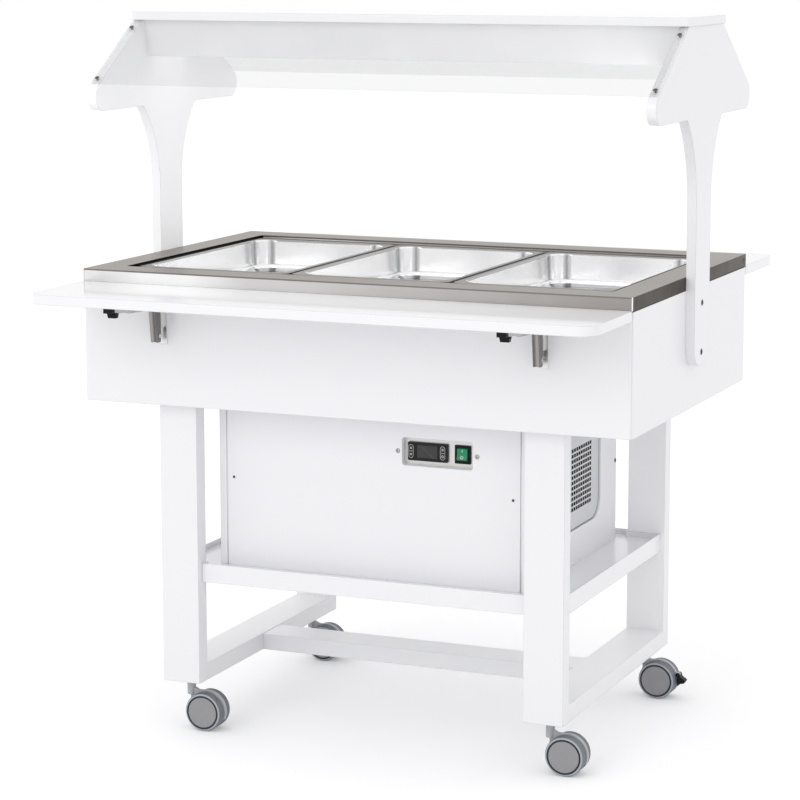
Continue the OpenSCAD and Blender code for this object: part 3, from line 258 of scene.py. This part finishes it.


# Rim: a satin top, long aprons with painted shade deepening toward the right and a painted
# highlight at the left end, short sides painted dark as shade, folded corners with a painted
# highlight at the right and painted shade at the left, and painted shade on the ledge below the
# top and in dark lines at the top fold, the laps, the lower edge and the end gaps
def rim_steel():
    ledge_below, fold_above, edge_below = 0.8995, 0.8992, 0.8780
    lap_beyond = 0.3535
    gap_x, gap_y, gap_z = (0.4866, 0.4955), 0.2965, 0.9016

    m = Mat("rim_steel", Specular_IOR_Level=0.0, Specular_Tint=(0.74, 0.72, 0.70))
    x, y, z = m.axes()
    nx, ny, nz = m.facing()
    left = -1.0 * x
    grain = m.brush("X")
    side_grain = m.brush("down a short side")
    cloud = m.noise(2.6, 3.0, 0.5, (1, 1.6, 3))

    top = m.mix((0.55 * grain + 0.55 * cloud).clamp(), (0.22, 0.205, 0.19), (0.50, 0.485, 0.47))
    # painted shade: the ledge below the top is near black
    top = m.mix(z.less(ledge_below), top, (0.06, 0.055, 0.05))

    # painted shade deepening toward the right end of the aprons, and a painted highlight at the
    # left end
    apron_shade_toward_right = (0.36 + x + 0.4 * (cloud - 0.5) + 0.14 * (grain - 0.5)).clamp()
    apron = m.mix(apron_shade_toward_right, (0.71, 0.70, 0.695), (0.28, 0.262, 0.25))
    painted_highlight = m.mix(left.ramp(0.42, 0.085), (0.97, 0.97, 0.97), (0.74, 0.735, 0.73))
    apron = m.mix(left.ramp(0.20, 0.13) * (0.85 + 0.3 * (grain - 0.5)), apron, painted_highlight)
    # painted shade: a dark line along the aprons' top fold
    apron = m.mix(z.more(fold_above) * nz.abs().less(0.3), apron, (0.21, 0.195, 0.185))

    # painted shade: the short sides are dark
    side = m.mix((side_grain + 1.6 * cloud - 0.85).clamp(), (0.014, 0.012, 0.011),
                 (0.13, 0.12, 0.112))
    colour = m.mix(ny.abs().more(0.6), top, apron)
    colour = m.mix(nx.abs().more(0.6), colour, side)
    # painted highlight on the right corners' folds, painted shade on the left ones
    corner = nx.abs().more(0.25) * ny.abs().more(0.25)
    corner_highlight_and_shade = m.mix(x.less(0.0), (0.93, 0.93, 0.92), (0.30, 0.29, 0.28))
    colour = m.mix(corner, colour, corner_highlight_and_shade)

    # painted shade: dark lines at the laps, the lower edge and the end gaps
    lap_shade = nx.abs().more(0.9) * y.abs().more(lap_beyond)
    lower_edge_shade = z.less(edge_below) * nz.abs().less(0.5)
    colour = m.mix((lap_shade + lower_edge_shade).clamp(), colour, (0.11, 0.10, 0.095))
    shade_gap = x.abs().between(*gap_x) * y.abs().less(gap_y) * z.less(gap_z)
    m.set("Base Color", m.mix(shade_gap, colour, (0.012, 0.011, 0.010)))
    m.set("Metallic", 1.0 - (shade_gap + lap_shade + lower_edge_shade).clamp())
    m.set("Roughness", 0.26 + 0.14 * (grain - 0.5) + 0.08 * cloud)
    m.bump(grain, 0.10, 0.3 * MM, 1.4 * MM)
    return m


# Pans: satin flanges round a bright bowl, with painted reflections in the dark bands and patches
# at its corners, painted shade round the mouth, and painted shadow on the flanges at the row's
# ends and joints
def pan_steel(name):
    corner_u, corner_v = 0.105, 0.2075       # middle of each corner's radius
    wall_above, floor_below = 0.848, 0.8405
    flange_above, row_end = 0.8979, 0.4795
    mouth_u, mouth_v, mouth_above = 0.1470, 0.2495, 0.8930

    m = Mat("pan_steel_" + name, Specular_IOR_Level=0.0)
    lo, hi = [Vector(v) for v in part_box(name)]
    x, y, z = m.axes()
    nx, ny, nz = m.facing()
    u, v = (x - (lo.x + hi.x) / 2).abs(), y.abs()
    cloud = m.noise(6.0, 3.0)
    soft = m.noise(4.2, 2.0, 0.5, (1, 1, 3.5))
    streak = m.noise(9.0, 2.0, 0.5, (0.5, 7, 1))
    grain = m.brush("X")

    # painted corner reflections, by the angle round the corner, in radians
    across, along = u - corner_u, v - corner_v
    angle = m.node("ShaderNodeMath", {"operation": "ARCTAN2"}, along, across)
    corner = across.more(0.0) * along.more(0.0)
    bands = angle.peak(0.30, 0.20) + angle.peak(1.28, 0.22)
    painted_wall_reflections = z.more(wall_above) * corner * bands * 0.72
    spots = angle.peak(0.15, 0.35) + angle.peak(1.42, 0.42)
    outer_floor = (u.ramp(0.085, 0.05) + v.ramp(0.165, 0.07)).clamp()
    patch = (outer_floor * (0.15 + 0.5 * soft + spots * corner + 0.8 * (streak - 0.5))).clamp()
    painted_floor_reflections = z.less(floor_below) * patch * 0.85
    bowl = m.mix((2.0 * soft - 0.4).clamp(), (0.95, 0.95, 0.96), (1.0, 1.0, 1.0))
    bowl = m.mix((painted_wall_reflections + painted_floor_reflections).clamp(), bowl, (0.10, 0.10, 0.11))

    flange = z.more(flange_above) * nz.more(0.98)
    shadow = (x.abs().more(row_end) + x.abs().near(DIVIDER_X, PAN_JOINT)).clamp()
    satin = m.mix(grain, (0.09, 0.085, 0.08), (0.20, 0.19, 0.18))
    satin = m.mix(shadow, satin, (0.03, 0.03, 0.03))
    # painted shade: a darker line round the mouth
    mouth_shade = (u.more(mouth_u) + v.more(mouth_v)).clamp() * z.more(mouth_above) * (1.0 - flange)
    bowl = m.mix(mouth_shade, bowl, (0.42, 0.41, 0.40))
    m.set("Base Color", m.mix(flange, bowl, satin))
    m.set("Metallic", 1.0 - flange * shadow)
    m.set("Roughness", 0.15 + 0.08 * cloud + 0.10 * flange)
    m.bump(cloud, 0.05, 2 * MM, 0.6 * MM)
    return m


# Divider bars: the gap between two pans is painted dark as shade
def bar_steel():
    m = Mat("bar_steel", Specular_IOR_Level=0.0)
    x, y, z = m.axes()
    grain = m.brush("Y")
    # painted shade in the gap between two pans
    shade_gap = x.abs().near(DIVIDER_X, PAN_JOINT)
    colour = m.mix(grain, (0.50, 0.485, 0.47), (0.60, 0.585, 0.57))
    m.set("Base Color", m.mix(shade_gap, colour, (0.015, 0.015, 0.015)))
    m.set("Metallic", 1.0 - shade_gap)
    m.set("Roughness", 0.30 + 0.10 * grain)
    m.bump(grain, 0.08, 0.3 * MM, 0.6 * MM)
    return m


# Wall plates: satin, with the pivot's pin heads painted on as discs, made bright as a painted
# highlight, round a dark ring
def plate_steel():
    ear_side = 6.2 * MM
    disc_r, ring_in, ring_out = 4.6 * MM, 2.4 * MM, 3.4 * MM

    m = Mat("plate_steel", Metallic=1.0)
    x, y, z = m.axes()
    grain = m.brush("Z")
    r = distance(y.abs() - PIVOT_Y, z - PIVOT_Z)
    # pin heads drawn as colour; their brightness is a painted highlight
    disc = (x.abs() - BRACKET_X).abs().more(ear_side) * r.less(disc_r)
    ring = disc * r.between(ring_in, ring_out)
    colour = m.mix(grain, (0.62, 0.615, 0.61), (0.76, 0.755, 0.75))
    colour = m.mix(disc, colour, (0.93, 0.93, 0.92))
    m.set("Base Color", m.mix(ring, colour, (0.03, 0.03, 0.03)))
    m.set("Roughness", 0.30 + 0.12 * (grain - 0.5) - 0.12 * disc)
    m.bump(grain, 0.10, 0.3 * MM, 0.8 * MM)
    return m


# Struts: pressed channels, with painted shade toward one flange and a painted highlight along
# the middle of the web
def strut_steel():
    pale_from, pale_over, web_half = -2.2 * MM, 3.5 * MM, 5.5 * MM

    m = Mat("strut_steel", Metallic=1.0)
    x, y, z = m.axes()
    grain = m.brush("Z")
    cloud = m.noise(30, 2.0, 0.5, (1, 1, 0.2))
    off = x.abs() - BRACKET_X
    # painted highlight along the web, painted shade toward one flange
    painted_highlight = off.ramp(pale_from, pale_over) * (0.75 + 0.5 * (cloud - 0.5))
    web = m.mix(painted_highlight, (0.055, 0.050, 0.046), (0.34, 0.325, 0.315))
    web = m.mix(off.abs().more(web_half), web, (0.16, 0.15, 0.145))
    m.set("Base Color", m.mix(0.35 * grain, web, (0.50, 0.48, 0.47)))
    m.set("Roughness", 0.30 + 0.16 * (grain - 0.5))
    m.bump(grain, 0.14, 0.3 * MM, 0.6 * MM)
    return m


# ---- Painted and mixed finishes ----
# Vent plates: grey, with the punched edges painted near black as shade and a painted shadow line
# round the plate
def vent_plate():
    half_w, half_h, corner_r, middle_z = 0.1554, 0.0973, 0.0417, 0.4905
    line = 1.8 * MM

    m = Mat("vent_grey", IOR=1.5)
    x, y, z = m.axes()
    nx, ny, nz = m.facing()
    cloud = m.noise(14, 2.0)
    a = (y.abs() - (half_w - corner_r)).max(0.0)
    b = ((z - middle_z).abs() - (half_h - corner_r)).max(0.0)
    border_shadow = distance(a, b).more(corner_r - line)
    face = m.mix(cloud, (0.60, 0.605, 0.615), (0.68, 0.685, 0.695))
    face = m.mix(border_shadow, face, (0.16, 0.16, 0.165))
    # painted shade: the punched edges are near black
    m.set("Base Color", m.mix(nx.abs().more(0.5), (0.012, 0.012, 0.013), face))
    m.set("Roughness", 0.42 + 0.10 * (cloud - 0.5))
    m.bump(m.noise(900, 2.0), 0.08, 0.2 * MM, 0.4 * MM)
    return m


# Screws: black heads in the boards, dark steel ones in the canopy, bright cross-head screws
# beside the controls, each with a painted shade rim, and pale caps with a black recess on the
# housing's front panel
def screw_finish():
    control_x, control_reach, control_front = (0.0555, 0.2145), 8 * MM, -0.25
    slot_half, slot_reach, head_edge = 0.6 * MM, 2.8 * MM, 3.7 * MM
    panel_x, panel_z, panel_band, recess_r = 0.2865, 0.499, (0.46, 0.53), 2.6 * MM
    canopy_above = 1.0

    m = Mat("screw_finish", IOR=1.5)
    x, y, z = m.axes()
    fine = m.noise(500, 2.0)
    dx = (x - control_x[0]).abs().min((x - control_x[1]).abs())
    dz = (z - CONTROL_Z).abs()
    control = dz.less(control_reach) * dx.less(control_reach) * y.less(control_front)
    cross = dx.min(dz).less(slot_half) * dx.max(dz).less(slot_reach) * control
    # painted shade: a dark rim round the control screws' heads
    head = m.mix(distance(dx, dz).more(head_edge), (0.60, 0.59, 0.58), (0.16, 0.155, 0.15))
    cap = z.between(*panel_band) * y.less(0.0)
    cap = cap * distance(x.abs() - panel_x, z - panel_z).more(recess_r)
    canopy = z.more(canopy_above)
    colour = m.mix(control, (0.012, 0.012, 0.013), head)
    colour = m.mix(cap, colour, (0.86, 0.86, 0.87))
    colour = m.mix(canopy, colour, (0.13, 0.13, 0.135))
    m.set("Base Color", m.mix(cross, colour, (0.03, 0.03, 0.03)))
    m.set("Metallic", (control + canopy).clamp() * (1.0 - cross))
    m.set("Roughness", 0.24 + 0.10 * fine)
    m.bump(fine, 0.10, 0.2 * MM, 0.3 * MM)
    return m


# Casters: a moulded grey hood with a near-black band at the top of its stem
def caster_grey():
    top_band_z = (0.0958, 0.1002)

    m = Mat("caster_grey", IOR=1.5)
    x, y, z = m.axes()
    cloud = m.noise(30, 2.0)
    hood = m.mix(cloud, (0.37, 0.375, 0.39), (0.50, 0.505, 0.52))
    top_band = z.between(*top_band_z)
    m.set("Base Color", m.mix(top_band, hood, (0.02, 0.02, 0.022)))
    m.set("Roughness", 0.26 + 0.10 * cloud + 0.1 * top_band)
    m.bump(m.noise(900, 2.0), 0.08, 0.2 * MM, 1.2 * MM)
    return m


# Wheels: a grey disc, a dark ring round it, and a blue-grey tyre with a dark outer edge
def wheel_mat(name):
    ring_in, ring_out, tyre_in, edge_in = 29.6 * MM, 33.3 * MM, 33.1 * MM, 36.3 * MM

    m = Mat(name, IOR=1.5)
    lo, hi = [Vector(v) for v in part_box(name)]
    x, y, z = m.axes()
    r = distance(x - (lo.x + hi.x) / 2, z - (lo.z + hi.z) / 2)
    tyre = r.more(tyre_in)
    fine = m.noise(700, 2.0)
    cloud = m.noise(40, 2.0)
    disc = m.mix(cloud, (0.275, 0.272, 0.28), (0.315, 0.31, 0.318))
    rubber = m.mix(cloud, (0.36, 0.39, 0.43), (0.43, 0.46, 0.50))
    rubber = m.mix(r.more(edge_in), rubber, (0.17, 0.18, 0.20))
    colour = m.mix(tyre, disc, rubber)
    m.set("Base Color", m.mix(r.between(ring_in, ring_out), colour, (0.018, 0.020, 0.024)))
    m.set("Roughness", 0.42 + 0.12 * tyre + 0.06 * fine)
    m.bump(fine, 0.08, 0.2 * MM, 0.8 * MM)
    return m


# ---- Each piece of the CAD gets its finish ----
def dress(mat, *names):
    for name in names:
        for s in NODES[name].material_slots:
            s.material = mat.m


dress(board(), "upright_right", "front_panel", "rear_panel", "left_panel", "right_panel",
      "floor_panel", "housing_front", "housing_rear", "housing_ends")
# Painted light: the left upright and the frame under the box get lighter faces where they lie in
# shade
dress(board("board_painted_light", "all but the outer side"), "upright_left")
dress(board("frame_board_painted_light", "under the box"), "legs", "rails", "stretcher")
dress(gloss_board(), "tray_front", "tray_rear", "top_shelf", "mid_shelf")
# The lamp cover's faint emission is a painted glow that lightens it in the shelf's shade
dress(plastic("cover_painted_glow", (0.95, 0.95, 0.96), 0.22, edge=1.5 * MM,
              Emission_Color=(1.0, 1.0, 1.0), Emission_Strength=0.06), "lamp_cover")
dress(plastic("diffuser_white", (0.88, 0.885, 0.89), 0.35,
              Emission_Color=(1.0, 0.99, 0.98), Emission_Strength=0.60), "diffuser")
dress(plastic("lamp_white", (0.86, 0.865, 0.87), 0.3), "lamp")
dress(plastic("foam", (0.80, 0.74, 0.50), 0.9, grain=260, depth=0.5), "insulation")
dress(plastic("black_plastic", (0.005, 0.005, 0.006), 0.42, Specular_IOR_Level=0.18),
      "caps_front", "caps_rear", "lever_front_left", "lever_front_right", "lever_rear_left",
      "lever_rear_right", "brake_left", "brake_right", "switch_body", "fan")
dress(plastic("bezel_black", (0.008, 0.008, 0.009), 0.32, Specular_IOR_Level=0.25),
      "controller")
dress(plastic("key_rubber", (0.022, 0.022, 0.024), 0.6, Specular_IOR_Level=0.25),
      "key_pad_left", "key_pad_right")
dress(plastic("dark_metal", (0.05, 0.05, 0.055), 0.42, edge=1.5 * MM), "cooling_set")
dress(rocker_green(), "rocker")
dress(rim_steel(), "rim")
dress(bar_steel(), "divider_bars")
for pan in ("pan_left", "pan_mid", "pan_right"):
    dress(pan_steel(pan), pan)
dress(brushed("tank_steel", (0.60, 0.59, 0.57), 0.32, "Y"), "tank")
dress(plate_steel(), "wall_plates")
dress(brushed("arm_steel", (0.64, 0.635, 0.63), 0.30, "Y"), "arms_front", "arms_rear")
dress(strut_steel(), "struts_front", "struts_rear")
dress(brushed("control_steel", (0.66, 0.645, 0.635), 0.36, "X", marks=0.6), "control_plate")
dress(vent_plate(), "grilles")
dress(screw_finish(), "screws")
dress(caster_grey(), "caster_front_left", "caster_front_right", "caster_rear_left",
      "caster_rear_right")
for wheels in ("wheels_front_left", "wheels_front_right", "wheels_rear_left",
               "wheels_rear_right"):
    dress(wheel_mat(wheels), wheels)


# ---- Small pieces ----
def piece(name, bm, mat, body):
    me = bpy.data.meshes.new(name)
    bm.normal_update()
    bm.to_mesh(me)
    bm.free()
    o = bpy.data.objects.new(name, me)
    bpy.context.scene.collection.objects.link(o)
    o.data.materials.append(mat.m)
    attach(o, body)
    return o


# Closed solid through rings of corners, from the lowest ring to the highest
def stack(bm, rings):
    n = len(rings[0])
    for low, high in zip(rings, rings[1:]):
        for i in range(n):
            j = (i + 1) % n
            bm.faces.new((low[i], low[j], high[j], high[i]))
    bm.faces.new(rings[-1])
    bm.faces.new(rings[0][::-1])


# Raised flat marks: outlines in (a, b), laid on a face at `at` with axes `right` and `up`
def raised(bm, loops, at, right, up, thick=0.16 * MM):
    at, right, up = Vector(at), Vector(right), Vector(up)
    out = right.cross(up).normalized()
    for loop in loops:
        stack(bm, [[bm.verts.new(at + right * a + up * b + out * h) for a, b in loop]
                   for h in (0, thick)])


def turns(n):
    return [2 * math.pi * i / n for i in range(n)]


def arc(cx, cy, r, a0, a1, n=16):
    steps = [math.radians(a0 + (a1 - a0) * i / n) for i in range(n + 1)]
    return [(cx + r * math.cos(t), cy + r * math.sin(t)) for t in steps]


# Closed line of a given width round a capsule or circle, as short joined plates
def band(outer, inner):
    n = len(outer)
    return [[outer[i], outer[(i + 1) % n], inner[(i + 1) % n], inner[i]] for i in range(n)]


def capsule(w, h, n=10):
    r = w / 2
    return arc(0, h / 2 - r, r, 0, 180, n) + arc(0, r - h / 2, r, 180, 360, n)


def bar(cy, w, h):
    return [(-w / 2, cy - h / 2), (w / 2, cy - h / 2), (w / 2, cy + h / 2), (-w / 2, cy + h / 2)]


PRINT = plastic("print_white", (0.74, 0.75, 0.75), 0.5, edge=0.0)


# Key marks: an outline and a middle line; arrows up and down, or three bars and a power sign
def key_marks(side, key_x):
    key_front = -243.9 * MM
    bm = bmesh.new()
    loops = band(capsule(9.6 * MM, 25.6 * MM), capsule(8.5 * MM, 24.5 * MM))
    loops.append(bar(0, 6.4 * MM, 0.6 * MM))
    if side == "left":
        half, foot, tip = 1.9 * MM, 4.6 * MM, 8.4 * MM
        loops.append([(-half, foot), (half, foot), (0, tip)])
        loops.append([(-half, -foot), (0, -tip), (half, -foot)])
    else:
        loops += [bar(z * MM, 3.8 * MM, 0.8 * MM) for z in (4.9, 6.5, 8.1)]
        sign_z, start, end = -6.4 * MM, 115, 425
        loops += band(arc(0, sign_z, 2.4 * MM, start, end, 20),
                      arc(0, sign_z, 1.7 * MM, start, end, 20))[:-1]
        loops.append(bar(-4.6 * MM, 0.7 * MM, 2.6 * MM))
    raised(bm, loops, (key_x, key_front, CONTROL_Z), (1, 0, 0), (0, 0, 1))
    piece("key_marks_" + side, bm, PRINT, side + " key")


key_marks("left", 78.9 * MM)
key_marks("right", 142.7 * MM)


# Display window: a bevelled dark pane in the controller's recess
def display():
    half_w, half_h, r = 20.6 * MM, 12.4 * MM, 2 * MM
    back, front = -242.71 * MM, -243.02 * MM
    narrower, lower = 0.975, 0.96
    w, h = half_w - r, half_h - r
    outline = []
    for cx, cz, start in ((w, h, 0), (-w, h, 90), (-w, -h, 180), (w, -h, 270)):
        outline += arc(cx, cz, r, start, start + 90, 6)
    bm = bmesh.new()
    stack(bm, [[bm.verts.new((DISPLAY_X + a * kx, y, CONTROL_Z + b * kz)) for a, b in outline]
               for y, kx, kz in ((back, 1, 1), (front, narrower, lower))])
    piece("display_pane", bm, pane(), "cart")


display()


# Rocker marks: a bar on the pressed half, a ring on the raised one
def rocker_marks():
    key_x, pivot_y, tilt = 182.2 * MM, -238.8 * MM, math.radians(-9)

    def at(y, z):
        y, z = y * MM, z * MM
        return Vector((key_x, pivot_y + y * math.cos(tilt) - z * math.sin(tilt),
                       CONTROL_Z + y * math.sin(tilt) + z * math.cos(tilt)))

    bm = bmesh.new()
    top, middle, bottom = at(-8.2, 12.5), at(-6, 0), at(-8.2, -12.5)
    stroke = [bar(0, 1.3 * MM, 5.6 * MM)]
    ring = band(arc(0, 0, 2.9 * MM, 0, 345, 23), arc(0, 0, 1.8 * MM, 0, 345, 23))
    for a, b, loops in ((middle, top, stroke), (bottom, middle, ring)):
        raised(bm, loops, (a + b) / 2, (1, 0, 0), (b - a).normalized(), 0.14 * MM)
    piece("rocker_marks", bm, PRINT, "power switch")


rocker_marks()


# Screens: the moulded sheets, set a hair clear of the uprights' sloping edges
CLEAR = clear()
SCREEN_LIFT = 0.4 * MM


def screen(node):
    me = NODES[node].data.copy()
    face = max((f for f in me.polygons if f.normal.z > 0.3), key=lambda f: f.area)
    lift = face.normal.normalized() * SCREEN_LIFT
    for v in me.vertices:
        v.co += lift
    me.materials.clear()
    o = bpy.data.objects.new(node + "_sheet", me)
    bpy.context.scene.collection.objects.link(o)
    o.data.materials.append(CLEAR.m)
    for f in o.data.polygons:
        f.material_index = 0
    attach(o, "cart")
    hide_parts(node)


screen("screen_front")
screen("screen_rear")


# Pale beads that close the slits at the ends of the housing's front and rear panels
def seal_beads():
    bead_x, bead_y, bead_r = 301.75 * MM, 249.3 * MM, 1.2 * MM
    heights = (325.6 * MM, 487 * MM, 648.7 * MM)
    bm = bmesh.new()
    for sx in (-1, 1):
        for sy in (-1, 1):
            cx, cy = sx * bead_x, sy * bead_y
            loop = [(cx + bead_r * math.cos(t), cy + bead_r * math.sin(t)) for t in turns(12)]
            stack(bm, [[bm.verts.new((a, b, z)) for a, b in loop] for z in heights])
    bead_white = plastic("bead_white", (0.90, 0.90, 0.91), 0.5, edge=0.0)
    o = piece("seal_beads", bm, bead_white, "cart")
    for f in o.data.polygons:
        f.use_smooth = len(f.vertices) == 4


seal_beads()

# Turned heads on both ends of the brackets' hinge pins; the profile is radius and height
BRIGHT = brushed("bright_steel", (0.86, 0.86, 0.855), 0.20, "X", edge=0.2 * MM, marks=0.3)
HEAD = ((3.9, 0.0), (4.1, 0.25), (3.9, 0.8), (3.2, 1.15), (2.4, 1.05), (2.1, 0.55), (0.6, 0.5))
HEAD_OFF = 10 * MM                       # from the middle of the bracket to each head


def turned_head(bm, at, out):
    at, out, side = Vector(at), Vector(out), Vector((0, 1, 0))
    other = out.cross(side)
    stack(bm, [[bm.verts.new(at + out * (h * MM)
                             + (side * math.cos(t) + other * math.sin(t)) * (r * MM))
                for t in turns(20)] for r, h in HEAD])


def pin_heads(name, body, pin_y):
    bm = bmesh.new()
    for bracket_x in (-BRACKET_X, BRACKET_X):
        for k in (-1, 1):
            turned_head(bm, (bracket_x + k * HEAD_OFF, pin_y, HINGE_PIN_Z), (k, 0, 0))
    o = piece(name, bm, BRIGHT, body)
    for f in o.data.polygons:
        f.use_smooth = True


pin_heads("hinge_pin_heads_front", "front tray", -HINGE_PIN_Y)
pin_heads("hinge_pin_heads_rear", "rear tray", HINGE_PIN_Y)


# ---- Stage: the floor and the world are white where they are seen, straight, through a screen
# or in steel; the floor keeps the light's shadows ----
def seen(tree):
    path = tree.nodes.new("ShaderNodeLightPath")
    last = path.outputs["Is Camera Ray"]
    for ray in ("Is Transmission Ray", "Is Glossy Ray"):
        either = tree.nodes.new("ShaderNodeMath")
        either.operation = "MAXIMUM"
        tree.links.new(last, either.inputs[0])
        tree.links.new(path.outputs[ray], either.inputs[1])
        last = either.outputs[0]
    return last


def floor_white():
    mat = bpy.data.materials.new("floor_white")
    mat.use_nodes = True
    tree = mat.node_tree
    tree.nodes.clear()
    matt = tree.nodes.new("ShaderNodeBsdfDiffuse")
    matt.inputs["Color"].default_value = (0.93, 0.93, 0.93, 1)
    glow = tree.nodes.new("ShaderNodeEmission")
    glow.inputs["Color"].default_value = (0.17, 0.17, 0.17, 1)
    tree.links.new(seen(tree), glow.inputs["Strength"])
    both = tree.nodes.new("ShaderNodeAddShader")
    tree.links.new(matt.outputs[0], both.inputs[0])
    tree.links.new(glow.outputs[0], both.inputs[1])
    out = tree.nodes.new("ShaderNodeOutputMaterial")
    tree.links.new(both.outputs[0], out.inputs[0])
    return mat


def add_floor(half=30, below=0.2 * MM):
    me = bpy.data.meshes.new("floor")
    me.from_pydata([(-half, -half, 0), (half, -half, 0), (half, half, 0), (-half, half, 0)],
                   [], [(0, 1, 2, 3)])
    floor = bpy.data.objects.new("floor", me)
    bpy.context.scene.collection.objects.link(floor)
    floor.location = (0, 0, -below)
    floor.data.materials.append(floor_white())


def add_world():
    world = bpy.data.worlds.new("world")
    bpy.context.scene.world = world
    world.use_nodes = True
    tree = world.node_tree
    soft = tree.nodes["Background"]
    soft.inputs["Color"].default_value = (0.965, 0.965, 0.975, 1)
    white = tree.nodes.new("ShaderNodeBackground")
    white.inputs["Color"].default_value = (1, 1, 1, 1)
    both = tree.nodes.new("ShaderNodeMixShader")
    tree.links.new(seen(tree), both.inputs[0])
    tree.links.new(soft.outputs[0], both.inputs[1])
    tree.links.new(white.outputs[0], both.inputs[2])
    tree.links.new(both.outputs[0], tree.nodes["World Output"].inputs[0])


def area_lamp(name, power, size, at, look):
    light = bpy.data.lights.new(name, "AREA")
    light.energy, light.size = power, size
    o = bpy.data.objects.new(name, light)
    bpy.context.scene.collection.objects.link(o)
    o.location = at
    o.rotation_euler = (Vector(look) - Vector(at)).to_track_quat("-Z", "Y").to_euler()
    return o


add_floor()
add_world()
area_lamp("key", power=104, size=4.0, at=(-1.6, -7.8, 4.4), look=(0, 0, 0.7))
canopy_fill = area_lamp("under_canopy", power=1.3, size=0.3, at=(0.50, 0, 1.10),
                        look=(-0.5, 0, 1.16))
canopy_fill.visible_glossy = False

bpy.context.scene.view_settings.view_transform = "Standard"
